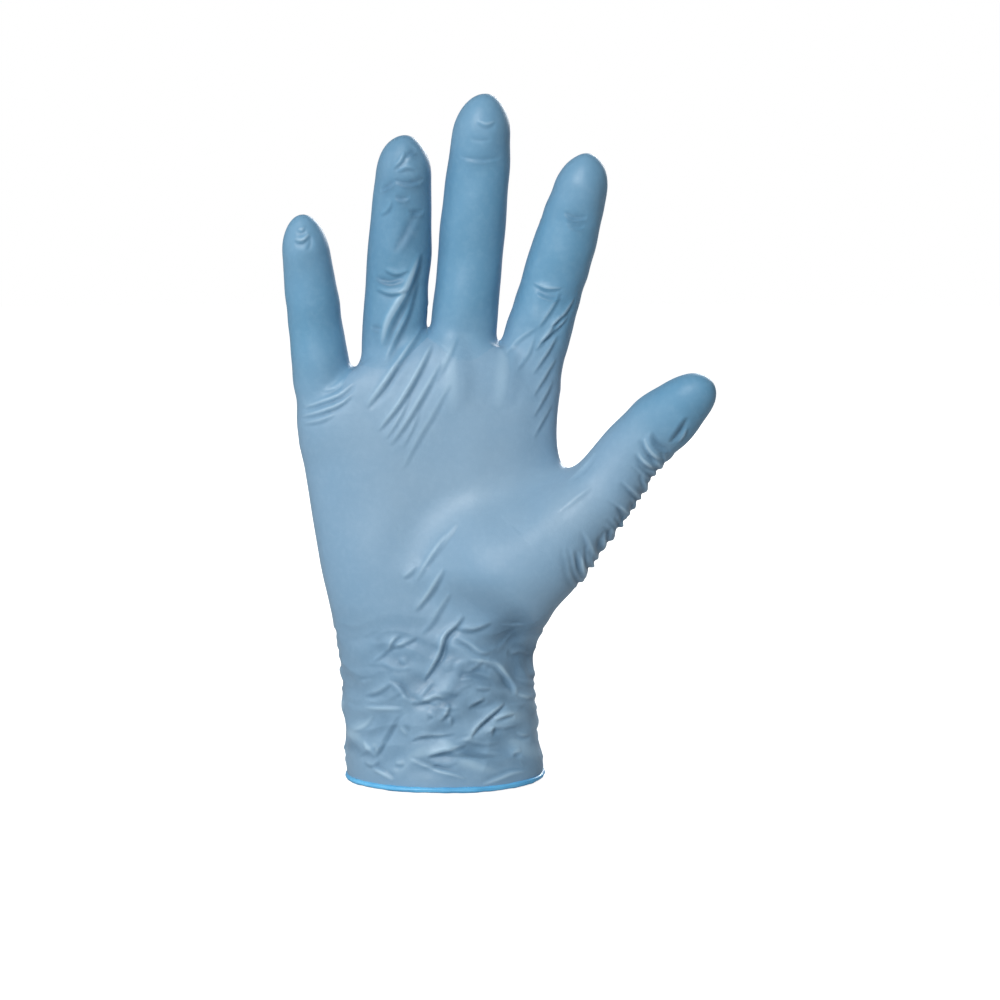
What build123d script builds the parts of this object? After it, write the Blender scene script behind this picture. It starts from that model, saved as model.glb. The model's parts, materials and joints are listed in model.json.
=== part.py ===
from build123d import *
from math import cos, radians, sin
import os

os.makedirs("parts", exist_ok=True)

# Disposable nitrile glove for a right hand, in the shape it has when worn.
# Frame, in mm: origin at the centre of the hand opening, +Z from the opening
# towards the fingertips, -Y out of the palm, +X towards the thumb.

# ---- film and rolled rim ----
WALL = 0.12
BEAD_R = 0.85

# ---- cuff, wrist and palm: z, left x, right x, depth, centre y ----
RIM = (0.0, -34.5, 34.0, 46.0, 0.0)
CUFF_MID = (16.0, -33.0, 31.0, 44.5, 0.0)
CUFF_TOP = (31.0, -33.7, 30.2, 43.5, 0.0)
WRIST_MID = (38.0, -34.3, 30.0, 43.0, 0.0)
WRIST_TOP = (45.0, -35.2, 30.0, 42.0, 0.0)
PALM = [
    WRIST_TOP,
    (60.0, -37.8, 32.0, 38.0, 0.0),
    (80.0, -41.7, 34.5, 33.0, 0.0),
    (104.0, -45.7, 36.5, 29.0, 0.5),
]
KNUCKLES = (-5.7, 128.5, -9.0)   # centre x, centre z and slope of the section under the fingers
KNUCKLE_SIZE = (86.5, 25.0)      # its width and depth
CORNER = 0.48                    # corner radius of a section as a share of its depth

# ---- fingers ----
# base x, z, y; lean from +Z towards +X; length; forward curl of the tip;
# hinge stations and half lengths of the fold bands; width at the base and middle
FINGERS = {
    "index": ((29.6, 145.2, 1.0), 17.1, 65.1, 8.0, (0.0, 20.6, 42.0), (6.5, 6.8, 4.0), (20.7, 20.8)),
    "middle": ((6.6, 145.8, 1.5), 4.2, 82.1, 9.0, (0.0, 28.0, 56.0), (6.5, 7.0, 4.0), (21.2, 21.0)),
    "ring": ((-16.9, 141.8, 1.5), 2.9, 72.1, 10.0, (0.0, 22.0, 47.0), (6.5, 6.8, 4.0), (21.0, 20.3)),
    "little": ((-39.4, 131.9, 1.0), -9.1, 56.3, 8.0, (0.0, 18.0, 35.3), (6.0, 6.0, 3.6), (19.0, 17.6)),
}
FINGER_DEPTH = 0.87              # depth of a finger as a share of its width
STUB = 20.0                      # how far a finger's tube reaches down into the palm

# ---- thumb ----
THUMB = ((49.4, 94.1, -11.0), 40.5, 53.6, 13.0, (8.0, 27.0), (5.0, 6.0), (23.4, 20.8))
THUMB_DEPTH = 0.93
# ball of the thumb: station, offset across, centre y, width, depth
THENAR = [
    (-50.5, 2.6, -2.0, 22.0, 28.0),
    (-35.0, -7.0, -6.0, 42.0, 41.0),
    (-17.0, -4.6, -9.0, 34.0, 35.0),
]

# A tip closes as a dome: share of the length, share of the middle width
DOME = [(0.73, 0.925), (0.82, 0.84), (0.91, 0.69), (0.96, 0.50), (0.99, 0.27), (1.0, 0.10)]


def digit_plane(digit, station, across=0.0, forward=0.0):
    """Section plane on a digit's centre line, normal to it."""
    (x, z, y), lean, length, curl = digit[:4]
    part_way = max(station, 0.0) / length
    bend = -curl * part_way * part_way
    slope = -2.0 * curl * part_way / length
    along = (sin(radians(lean)), cos(radians(lean)))
    side = (cos(radians(lean)), -sin(radians(lean)))
    origin = (
        x + along[0] * station + side[0] * across,
        y + bend + forward,
        z + along[1] * station + side[1] * across,
    )
    return Plane(origin=origin, x_dir=(side[0], 0, side[1]), z_dir=(along[0], slope, along[1]))


def digit_width(digit, station):
    """Width of a digit at a station: straight to the middle, then the dome."""
    length = digit[2]
    base_width, middle_width = digit[6]
    stations = [(-STUB, base_width), (0.0, base_width), (0.5 * length, middle_width)]
    stations += [(share * length, scale * middle_width) for share, scale in DOME]
    for (s0, w0), (s1, w1) in zip(stations, stations[1:]):
        if station <= s1 + 1e-6:
            return w0 + (w1 - w0) * (station - s0) / (s1 - s0)
    return stations[-1][1]


def oval(plane, width, depth, inset):
    """Oval section of a digit, drawn in by the inset."""
    with BuildSketch(plane) as section:
        Ellipse(width / 2 - inset, depth / 2 - inset)
    return section.sketch


def digit_ovals(digit, stations, depth, inset):
    """Oval sections along a digit."""
    widths = [digit_width(digit, station) for station in stations]
    planes = [digit_plane(digit, station) for station in stations]
    return [oval(p, w, depth * w, inset) for p, w in zip(planes, widths)]


def tube_stations(start, end):
    return [start, (start + end) / 2, end]


def tip_stations(digit, start, inset):
    """Sections of a closed tip; the inner ones stop one wall short of the end."""
    length = digit[2]
    dome = [share * length for share, scale in DOME if share * length > start + 1.0]
    return [start] + dome[:-1] + [dome[-1] - inset]


def rounded(plane, width, depth, inset):
    """Flattened round section of the cuff, wrist or palm, drawn in by the inset."""
    with BuildSketch(plane) as section:
        RectangleRounded(width - 2 * inset, depth - 2 * inset, CORNER * depth - inset)
    return section.sketch


def level_sections(table, inset):
    """Sections in level planes, from rows of z, left x, right x, depth and centre y."""
    found = []
    for z, left, right, depth, y in table:
        plane = Plane(origin=((left + right) / 2, y, z))
        found.append(rounded(plane, right - left, depth, inset))
    return found


def save(node, label):
    node.part.label = label
    export_step(node.part, "parts/" + label + ".step")


# ---- rolled bead round the hand opening ----
rim_z, rim_left, rim_right, rim_depth, rim_y = RIM
half_depth = rim_depth / 2
corners = [
    (rim_left, rim_y - half_depth, BEAD_R),
    (rim_right, rim_y - half_depth, BEAD_R),
    (rim_right, rim_y + half_depth, BEAD_R),
    (rim_left, rim_y + half_depth, BEAD_R),
]
with BuildPart() as bead:
    with BuildLine() as rim_line:
        FilletPolyline(*corners, radius=CORNER * rim_depth, close=True)
    rim = rim_line.wire()
    with BuildSketch(Plane(origin=rim @ 0.1, z_dir=rim % 0.1)):
        Circle(BEAD_R)
    sweep(path=rim)
save(bead, "cuff_bead")

# ---- cuff: the film from the bead to the wrist ----
film_foot = (2 * BEAD_R,) + RIM[1:]
with BuildPart() as cuff:
    loft(level_sections((film_foot, CUFF_MID, CUFF_TOP), 0))
    loft(level_sections((film_foot, CUFF_MID, CUFF_TOP), WALL), mode=Mode.SUBTRACT)
save(cuff, "cuff")

# ---- band of film that folds at the wrist ----
with BuildPart() as wrist_fold:
    loft(level_sections((CUFF_TOP, WRIST_MID, WRIST_TOP), 0))
    loft(level_sections((CUFF_TOP, WRIST_MID, WRIST_TOP), WALL), mode=Mode.SUBTRACT)
save(wrist_fold, "wrist_fold")


# ---- palm: hollow body with a stub for each finger and the ball of the thumb ----
def palm_body(inset, mode):
    """The palm's outside, or its cavity when drawn in by the wall."""
    top = Plane(origin=(KNUCKLES[0], 0.5, KNUCKLES[1] - inset)).rotated((0, KNUCKLES[2], 0))
    sections = level_sections(PALM, inset)
    sections.append(rounded(top, *KNUCKLE_SIZE, inset))
    loft(sections, mode=mode)


def finger_stub(digit, inset, mode):
    """A finger's tube below its fold band, open at the band."""
    end = digit[4][0] - digit[5][0]
    loft(digit_ovals(digit, [-STUB + inset, (end - STUB) / 2, end], FINGER_DEPTH, inset), mode=mode)


def thumb_ball(inset, mode):
    """Ball of the thumb, from the wrist to the thumb's own tube."""
    sections = []
    for station, across, y, width, depth in THENAR:
        start = station + (inset if station == THENAR[0][0] else 0)
        plane = digit_plane(THUMB, start, across, y - THUMB[0][2])
        sections.append(oval(plane, width, depth, inset))
    sections += digit_ovals(THUMB, [THUMB[4][0] - THUMB[5][0]], THUMB_DEPTH, inset)
    loft(sections, mode=mode)


with BuildPart() as palm:
    for inset, mode in ((0, Mode.ADD), (WALL, Mode.SUBTRACT)):
        palm_body(inset, mode)
        for digit in FINGERS.values():
            finger_stub(digit, inset, mode)
        thumb_ball(inset, mode)
save(palm, "palm")


# ---- fingers and thumb: stiff lengths of tube with a fold band at each joint ----
def digit_part(digit, depth, start, end, label):
    """One open length of a digit's tube, or its closed tip when end is None."""
    with BuildPart() as tube:
        for inset, mode in ((0, Mode.ADD), (WALL, Mode.SUBTRACT)):
            if end is None:
                stations = tip_stations(digit, start, inset)
            else:
                stations = tube_stations(start, end)
            loft(digit_ovals(digit, stations, depth, inset), mode=mode)
    save(tube, label)


for name, digit in FINGERS.items():
    hinges, halves = digit[4], digit[5]
    knuckle, middle_joint, end_joint = [(h - r, h + r) for h, r in zip(hinges, halves)]
    digit_part(digit, FINGER_DEPTH, *knuckle, name + "_knuckle_fold")
    digit_part(digit, FINGER_DEPTH, knuckle[1], middle_joint[0], name + "_proximal")
    digit_part(digit, FINGER_DEPTH, *middle_joint, name + "_middle_fold")
    digit_part(digit, FINGER_DEPTH, middle_joint[1], end_joint[0], name + "_middle")
    digit_part(digit, FINGER_DEPTH, *end_joint, name + "_tip_fold")
    digit_part(digit, FINGER_DEPTH, end_joint[1], None, name + "_tip")

thumb_base, thumb_end = [(h - r, h + r) for h, r in zip(THUMB[4], THUMB[5])]
digit_part(THUMB, THUMB_DEPTH, *thumb_base, "thumb_base_fold")
digit_part(THUMB, THUMB_DEPTH, thumb_base[1], thumb_end[0], "thumb_proximal")
digit_part(THUMB, THUMB_DEPTH, *thumb_end, "thumb_tip_fold")
digit_part(THUMB, THUMB_DEPTH, thumb_end[1], None, "thumb_tip")
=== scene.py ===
"""A worn nitrile glove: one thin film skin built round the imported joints, and its rolled bead."""

import json
from math import cos, pi, radians, sin

import bpy
import numpy as np
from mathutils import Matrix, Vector


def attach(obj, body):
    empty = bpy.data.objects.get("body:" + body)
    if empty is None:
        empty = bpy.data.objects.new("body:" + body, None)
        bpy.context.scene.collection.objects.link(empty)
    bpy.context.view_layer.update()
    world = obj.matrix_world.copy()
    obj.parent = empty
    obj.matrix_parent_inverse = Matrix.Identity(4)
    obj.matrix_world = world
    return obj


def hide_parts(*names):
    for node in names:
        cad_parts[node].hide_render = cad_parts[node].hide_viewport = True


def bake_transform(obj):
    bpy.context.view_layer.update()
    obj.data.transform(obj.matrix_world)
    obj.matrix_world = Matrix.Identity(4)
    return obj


MM = 0.001
GRID = 0.5                  # mm, cell of the grid that the skin is drawn on
BLOCK = 6                   # grid cells across a block that is drawn only near the skin
WALL = 0.12                 # mm, the film's thickness
BEAD_R = 1.0                # mm, half the thickness of the rolled rim
FILM_FOOT = 1.0             # mm, where the film leaves the bead
TARGET = (18.6, 0.0, 94.0)  # mm, what the camera looks at
FOCAL = 85.0                # mm
FIELD = 331.4               # mm, width of the view at the glove
SENSOR = 36.0               # mm, width of the camera's sensor
ELEVATION = 7.0             # degrees, the camera looks slightly down
DISTANCE = FIELD * FOCAL / SENSOR
CHART_R = 10.0              # mm, radius that a digit's chart is unrolled at
CUFF_R = 27.0               # mm, the same for the cuff
NEAR_DIGIT = 3.0            # mm, how far from a digit's tube its colours and the thumb's fan reach
FAN_FOLDS = 27              # folds on the outer side of the thumb

FINGERS = ("index", "middle", "ring", "little")

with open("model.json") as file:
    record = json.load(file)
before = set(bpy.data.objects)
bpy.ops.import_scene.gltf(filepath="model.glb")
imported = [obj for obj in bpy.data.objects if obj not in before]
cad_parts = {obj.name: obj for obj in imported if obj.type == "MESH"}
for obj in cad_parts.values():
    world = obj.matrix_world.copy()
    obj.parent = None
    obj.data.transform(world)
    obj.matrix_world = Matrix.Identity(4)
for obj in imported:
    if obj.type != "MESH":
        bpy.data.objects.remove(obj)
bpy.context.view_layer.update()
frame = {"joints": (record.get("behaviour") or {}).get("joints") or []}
JOINTS = {j["name"]: j for j in frame["joints"]}


def curve(x, knots):
    """Smooth curve through rows of (x, y)."""
    xs, ys = np.array(knots, np.float32).T
    slopes = np.gradient(ys, xs)
    i = np.clip(np.searchsorted(xs, x) - 1, 0, len(xs) - 2)
    step = xs[i + 1] - xs[i]
    t = np.clip((x - xs[i]) / step, 0, 1)
    rise = t * t * (3 - 2 * t)
    lead = t * (1 - t) ** 2 * step * slopes[i]
    trail = t * t * (t - 1) * step * slopes[i + 1]
    return ys[i] * (1 - rise) + ys[i + 1] * rise + lead + trail


def smooth_step(x, low, high):
    """0 below low, 1 above high, and a smooth rise between them."""
    t = np.clip((x - low) / (high - low), 0, 1)
    return t * t * (3 - 2 * t)


def blend_min(a, b, k):
    """Union of two fields with a fillet of about k."""
    h = np.clip(0.5 + 0.5 * (b - a) / k, 0, 1)
    return b + (a - b) * h - k * h * (1 - h)


# ---------------------------------------------------------------- the hand's shape

def hinge(name):
    """A joint's place, in mm."""
    return np.array(JOINTS[name]["pos_m"]) / MM


class Digit:
    """One finger or the thumb: a tapered oval tube along a line that curls forward."""

    def __init__(self, first, second, first_station, length, curl, half_widths, **more):
        a, b = hinge(first), hinge(second)
        run = np.array([b[0] - a[0], b[2] - a[2]])
        run /= np.hypot(*run)
        self.along = run
        self.side = np.array([run[1], -run[0]])
        self.length = length
        self.curl = curl
        self.first_station = first_station
        bend = -curl * (first_station / length) ** 2
        self.base = a - np.array([run[0] * first_station, bend, run[1] * first_station])
        self.half_widths = half_widths
        self.cap = more.get("cap", 13.0)            # length of the rounded tip
        self.depth = more.get("depth", 0.87)        # depth as a share of the width
        self.root = more.get("root", -16.0)         # where the tube fades out inside the palm
        self.turn = radians(more.get("turn", 0.0))  # turn of the section about the digit's line
        self.centre = more["centre"]                # sideways shift of the line, by station
        self.pads = more.get("pads", [])            # (station, half length, height) on the palm side
        self.depths = more.get("depths")            # half depths, by station, in place of the share

    def local(self, p):
        """Station along the digit, and offsets across it and front to back."""
        x, y, z = p[..., 0] - self.base[0], p[..., 1] - self.base[1], p[..., 2] - self.base[2]
        s = x * self.along[0] + z * self.along[1]
        u = x * self.side[0] + z * self.side[1] - curve(s, self.centre)
        part = np.clip(s, 0, None) / self.length
        v = y + self.curl * part * part
        if self.turn:
            c, t = cos(self.turn), sin(self.turn)
            u, v = u * c - v * t, u * t + v * c
        return s, u, v

    def field(self, p):
        """Below zero inside the digit, in mm."""
        s, u, v = self.local(p)
        a = curve(s, self.half_widths)
        b = a * self.depth if self.depths is None else curve(s, self.depths)
        for station, half, height in self.pads:
            swell = height * np.exp(-((s - station) / half) ** 2)
            b = b + swell * np.clip(-v / 6, 0, 1)
        top = np.clip(s - (self.length - self.cap), 0, None)
        foot = np.clip(self.root - s, 0, None)
        w = top + foot
        reach = np.where(top > 0, self.cap, 12.0)
        q = np.sqrt((u / a) ** 2 + (v / b) ** 2 + (w / reach) ** 2) + 1e-6
        return np.sqrt(u * u + v * v + w * w) * (1 - 1 / q)


DIGITS = {
    "index": Digit(
        "index_knuckle_bend", "index_middle_bend", 0.0, 64.8, 8.0,
        [(-16, 9.9), (0, 10.8), (20, 10.2), (33, 10.2), (44, 9.5), (52, 8.9), (66, 8.3)],
        centre=[(-20, 0.3), (0, 0.3), (20, 0.0), (35, -0.1), (66, -0.6)],
        pads=[(10, 7, 0.7), (31, 7, 0.6), (52, 8, 0.9)]),
    "middle": Digit(
        "middle_knuckle_bend", "middle_middle_bend", 0.0, 81.2, 9.0,
        [(-16, 10.0), (0, 10.9), (14, 10.8), (28, 10.5), (42, 10.6), (56, 10.1), (66, 9.5), (83, 8.3)],
        centre=[(-20, 0.0), (0, -0.2), (35, 0.3), (60, 0.9), (82, 1.3)],
        pads=[(14, 9, 0.8), (42, 9, 0.6), (68, 9, 0.9)]),
    "ring": Digit(
        "ring_knuckle_bend", "ring_middle_bend", 0.0, 71.8, 10.0,
        [(-16, 9.8), (0, 10.4), (12, 10.5), (22, 10.4), (35, 10.4), (47, 9.7), (58, 9.1), (73, 8.5)],
        centre=[(-20, 0.0), (0, 0.1), (30, 0.8), (73, 1.4)],
        pads=[(11, 8, 0.7), (35, 8, 0.6), (59, 8, 0.9)]),
    "little": Digit(
        "little_knuckle_bend", "little_middle_bend", 0.0, 56.4, 8.0,
        [(-16, 9.0), (0, 9.8), (10, 9.4), (18, 8.9), (27, 8.8), (36, 8.3), (45, 7.7), (57, 7.1)],
        centre=[(-20, 0.0), (0, 0.0), (30, 1.0), (57, 2.7)],
        pads=[(8, 6, 0.6), (27, 6, 0.5), (45, 7, 0.8)]),
    "thumb": Digit(
        "thumb_base_bend", "thumb_tip_bend", 8.0, 55.4, 13.0,
        [(-50, 17), (-35, 19), (-20, 17.2), (-8, 14.2), (3, 12.0), (12, 11.2), (22, 10.5), (29, 10.4),
         (35, 10.6), (40, 9.9), (44, 8.9), (56, 8.5)],
        depths=[(-50, 12), (-35, 15.5), (-20, 15.2), (-8, 13.2), (3, 11.5), (12, 10.4), (22, 9.6),
                (29, 9.3), (35, 9.6), (42, 9.0), (56, 8.4)],
        centre=[(-50, -2.0), (-35, -6.0), (-20, -3.9), (-8, -2.2), (3, -0.8), (12, -1.3), (22, -2.2),
                (29, -1.8), (36, -1.3), (44, -0.6), (56, 0.4)],
        cap=12.3, root=-38.0, turn=22.0),
}

# Palm, wrist and cuff by height: left and right edge, front and back
LEFT = [(-6, -32.2), (0, -32.4), (4, -33.0), (13, -33.3), (20, -33.5), (28, -34.0), (38, -34.9),
        (46, -35.6), (61, -38.1), (76, -41.4), (85, -43.1), (95, -44.7), (105, -46.1),
        (120, -47.8), (130, -48.2), (150, -49.0)]
RIGHT = [(-6, 32.4), (0, 32.7), (4, 33.3), (8, 33.2), (14, 31.2), (20, 30.8), (28, 30.6), (38, 30.3),
         (46, 30.2), (61, 31.2), (76, 33.0), (85, 34.2), (95, 35.8), (105, 37.0), (120, 37.4),
         (130, 38.0), (150, 40.0)]
FRONT = [(-6, -23.4), (0, -23.0), (20, -21.5), (38, -20.8), (50, -19.5), (65, -17.4), (85, -14.8),
         (105, -13.4), (120, -12.8), (132, -11.6), (150, -9.5)]
BACK = [(-6, 23.2), (0, 22.8), (20, 21.6), (38, 20.6), (50, 19.4), (65, 18.0), (85, 16.6),
        (105, 15.6), (120, 14.6), (132, 13.0), (150, 11.0)]
SQUARENESS = [(-6, 2.0), (40, 2.05), (80, 2.25), (120, 2.5), (150, 2.6)]
# Top of the palm between the fingers, by x
WEBS = [(-52, 124.0), (-39, 128.0), (-29.5, 137.0), (-17, 142.2), (-4.6, 148.6), (6.6, 146.2),
        (17.6, 144.8), (29, 139.5), (44, 137.0)]


def palm_field(p):
    """Below zero inside the palm, wrist and cuff, in mm."""
    x, y, z = p[..., 0], p[..., 1], p[..., 2]
    left, right = curve(z, LEFT), curve(z, RIGHT)
    front, back = curve(z, FRONT), curve(z, BACK)
    half_x, half_y = (right - left) / 2, (back - front) / 2
    u, v = x - (left + right) / 2, y - (front + back) / 2
    n = curve(z, SQUARENESS)
    q = ((np.abs(u) / half_x) ** n + (np.abs(v) / half_y) ** n) ** (1 / n) + 1e-6
    side = np.sqrt(u * u + v * v) * (1 - 1 / q)
    top = z - curve(x, WEBS)
    return -blend_min(-side, -top, 9.0)


# Soft mounds and hollows of the palm: x, z, radius across, radius up, height
MOUNDS = [
    (-30.0, 72.0, 15.0, 26.0, 2.6),    # heel on the little finger's side
    (-4.0, 92.0, 14.0, 18.0, -1.2),    # hollow of the palm
    (-6.0, 50.0, 12.0, 14.0, -1.2),    # between the two heels
    (28.0, 128.0, 9.0, 10.0, 1.2),     # pads under the fingers
    (6.5, 131.0, 9.0, 9.0, 1.2),
    (-16.5, 127.0, 9.0, 9.0, 1.0),
    (-37.0, 117.0, 9.0, 9.0, 0.9),
]

# The same for the back of the hand: knuckles, and the tendons above the wrist
BACK_MOUNDS = [
    (27.5, 132.0, 6.5, 7.5, 1.5),
    (6.5, 136.0, 6.5, 7.5, 1.7),
    (-15.0, 131.0, 6.5, 7.5, 1.4),
    (-35.0, 120.0, 6.0, 7.0, 1.2),
    (20.0, 112.0, 3.2, 17.0, 0.6),
    (3.0, 112.0, 3.2, 19.0, 0.7),
    (-12.0, 108.0, 3.2, 17.0, 0.6),
    (24.0, 84.0, 9.0, 12.0, -1.0),
]


def hand_field(p):
    """Below zero inside the hand that fills the glove, in mm."""
    fingers = DIGITS["index"].field(p)
    for name in FINGERS[1:]:
        fingers = blend_min(fingers, DIGITS[name].field(p), 1.2)
    # the ball of the thumb joins the palm with a wide fillet, the web with a narrow one
    below_web = 104 - 0.4 * np.clip(p[..., 0] - 10, 0, None) - p[..., 2]
    thenar = smooth_step(below_web, -6, 38) * smooth_step(p[..., 2], 58, 74)
    fillet = 15 + 16 * smooth_step(-p[..., 1], 3, 12) * thenar
    body = blend_min(palm_field(p), DIGITS["thumb"].field(p), fillet)
    body = blend_min(body, fingers, 5.0)
    for side, mounds in ((-1, MOUNDS), (1, BACK_MOUNDS)):
        facing = np.clip(side * p[..., 1] / 8, 0, 1)
        for x, z, across, up, height in mounds:
            body = body - height * facing * np.exp(
                -((p[..., 0] - x) / across) ** 2 - ((p[..., 2] - z) / up) ** 2)
    return body


def skin_mesh():
    """Quads of the field's zero surface: one point in each grid cell that it crosses."""
    low = np.array([-60, -48, FILM_FOOT - 2 * GRID], np.float32)
    high = np.array([100, 32, 236], np.float32)
    blocks = np.ceil((high - low) / (GRID * BLOCK)).astype(int)
    middles = [low[n] + GRID * (BLOCK * np.arange(blocks[n]) + (BLOCK - 1) / 2) for n in range(3)]
    coarse = hand_field(np.stack(np.meshgrid(*middles, indexing="ij"), -1).astype(np.float32))
    values = coarse
    for axis in range(3):
        values = values.repeat(BLOCK, axis)
    near = np.argwhere(np.abs(coarse) < 1.7 * GRID * BLOCK) * BLOCK
    offsets = np.stack(np.meshgrid(*[np.arange(BLOCK)] * 3, indexing="ij"), -1).reshape(-1, 3)
    at = (near[:, None, :] + offsets).reshape(-1, 3)
    for chunk in np.array_split(at, 8):
        points = (low + GRID * chunk).astype(np.float32)
        values[chunk[:, 0], chunk[:, 1], chunk[:, 2]] = hand_field(points)
    inside = values < 0
    cell = tuple(c - 1 for c in values.shape)
    total = np.zeros(cell + (3,), np.float32)
    hits = np.zeros(cell, np.float32)
    corners = [(i, j, k) for i in (0, 1) for j in (0, 1) for k in (0, 1)]

    def part(array, corner):
        i, j, k = corner
        return array[i:i + cell[0], j:j + cell[1], k:k + cell[2]]

    for a in corners:
        for axis in range(3):
            if a[axis]:
                continue
            b = tuple(1 if n == axis else a[n] for n in range(3))
            va, vb = part(values, a), part(values, b)
            cross = part(inside, a) != part(inside, b)
            t = np.where(cross, va / np.where(cross, va - vb, 1), 0)
            for n in range(3):
                total[..., n] += np.where(cross, a[n] + (t if n == axis else 0), 0)
            hits += cross
    used = hits > 0
    index = np.full(cell, -1, np.int64)
    index[used] = np.arange(used.sum())
    where = np.argwhere(used).astype(np.float32)
    points = low + GRID * (where + total[used] / hits[used][:, None])
    quads = []
    for axis in range(3):
        b, c = [n for n in range(3) if n != axis]
        start = [slice(1, None)] * 3
        start[axis] = slice(0, cell[axis])
        near = inside[:cell[0] + 1, :cell[1] + 1, :cell[2] + 1]
        lo = [slice(1, cell[n]) for n in range(3)]
        hi = list(lo)
        lo[axis] = slice(0, cell[axis])
        hi[axis] = slice(1, cell[axis] + 1)
        first, second = near[tuple(lo)], near[tuple(hi)]
        for flip in (False, True):
            cross = (second & ~first) if flip else (first & ~second)
            at = np.argwhere(cross)
            at[:, b] += 1
            at[:, c] += 1
            ring = []
            for db, dc in ((-1, -1), (0, -1), (0, 0), (-1, 0)):
                cellpos = at.copy()
                cellpos[:, b] += db
                cellpos[:, c] += dc
                ring.append(index[cellpos[:, 0], cellpos[:, 1], cellpos[:, 2]])
            face = np.stack(ring, 1)
            if flip != (axis == 1):
                face = face[:, ::-1]
            quads.append(face)
    quads = np.concatenate(quads)
    return points.astype(np.float32), quads[(quads >= 0).all(1)]


def neighbours(quads, count):
    """Pairs of joined points, both ways round, and how many pairs each point has."""
    ends = np.concatenate([quads[:, [0, 1]], quads[:, [1, 2]], quads[:, [2, 3]], quads[:, [3, 0]]])
    ends = np.concatenate([ends, ends[:, ::-1]])
    return ends, np.maximum(np.bincount(ends[:, 0], minlength=count), 1)[:, None]


def neighbour_mean(values, ends, count):
    """Mean of each point's neighbours."""
    sums = [np.bincount(ends[:, 0], values[ends[:, 1], n], len(values)) for n in range(values.shape[1])]
    return np.stack(sums, 1) / count


def settle(points, quads, rounds=3):
    """Evens out the points along the surface and puts them back on it."""
    ends, count = neighbours(quads, len(points))
    foot = points[:, 2] < FILM_FOOT + 0.6 * GRID
    for _ in range(rounds):
        moved = 0.4 * points + 0.6 * neighbour_mean(points, ends, count)
        moved[foot, 2] = points[foot, 2]
        normals = point_normals(moved, quads)
        for _ in range(2):
            moved = moved - normals * hand_field(moved.astype(np.float32))[:, None]
        moved[foot, 2] = points[foot, 2]
        points = moved
    return points.astype(np.float32)


# ---------------------------------------------------------------- pieces of the skin

def face_normals(points, faces):
    """Normals of quads, as long as twice their area."""
    a, b, c, d = [points[faces[:, n]] for n in range(4)]
    return np.cross(c - a, d - b)


def point_normals(points, faces):
    """Unit normals of points, from the faces round each of them."""
    n = face_normals(points, faces)
    total = np.zeros_like(points)
    for corner in range(4):
        for axis in range(3):
            total[:, axis] += np.bincount(faces[:, corner], n[:, axis], len(points))
    return total / np.maximum(np.linalg.norm(total, axis=1, keepdims=True), 1e-9)


def stations_of(name):
    """Stations of a digit's hinges and of the cuts half way between them."""
    digit = DIGITS[name]
    order = ("base", "tip") if name == "thumb" else ("knuckle", "middle", "tip")
    at = [digit.local(hinge(f"{name}_{part}_bend"))[0] for part in order]
    return at, [(a + b) / 2 for a, b in zip(at, at[1:])]


def face_pieces(points, faces):
    """Which piece each face of the skin belongs to, as an index into PIECES."""
    centre = points[faces].mean(1)
    piece = np.zeros(len(faces), int)
    fields = np.stack([digit.field(centre) for digit in DIGITS.values()])
    nearest = fields.argmin(0)
    piece[centre[:, 2] < WRIST_CUT] = PIECES.index("cuff_skin")
    for number, (name, digit) in enumerate(DIGITS.items()):
        s = digit.local(centre)[0]
        hinges, cuts = stations_of(name)
        start = hinges[0] - ROOT_REACH[name]
        own = (nearest == number) & (s > start) & (fields[number] < 4.0)
        names = PIECE_NAMES[name]
        for level, limit in enumerate([start] + cuts):
            piece[own & (s > limit)] = PIECES.index(names[level])
    return piece


WRIST = JOINTS["wrist_bend"]["pos_m"][2] / MM
WRIST_CUT = WRIST + 17.0    # mm, top of the cuff's piece
# From each digit's first joint back to its cut from the palm, in mm
ROOT_REACH = {"index": 10.0, "middle": 10.0, "ring": 10.0, "little": 9.0, "thumb": 8.5}
PIECE_NAMES = {name: [f"{name}_root_skin", f"{name}_middle_skin", f"{name}_tip_skin"] for name in FINGERS}
PIECE_NAMES["thumb"] = ["thumb_root_skin", "thumb_tip_skin"]
PIECES = ["palm_skin", "cuff_skin"] + [n for names in PIECE_NAMES.values() for n in names]


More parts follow.
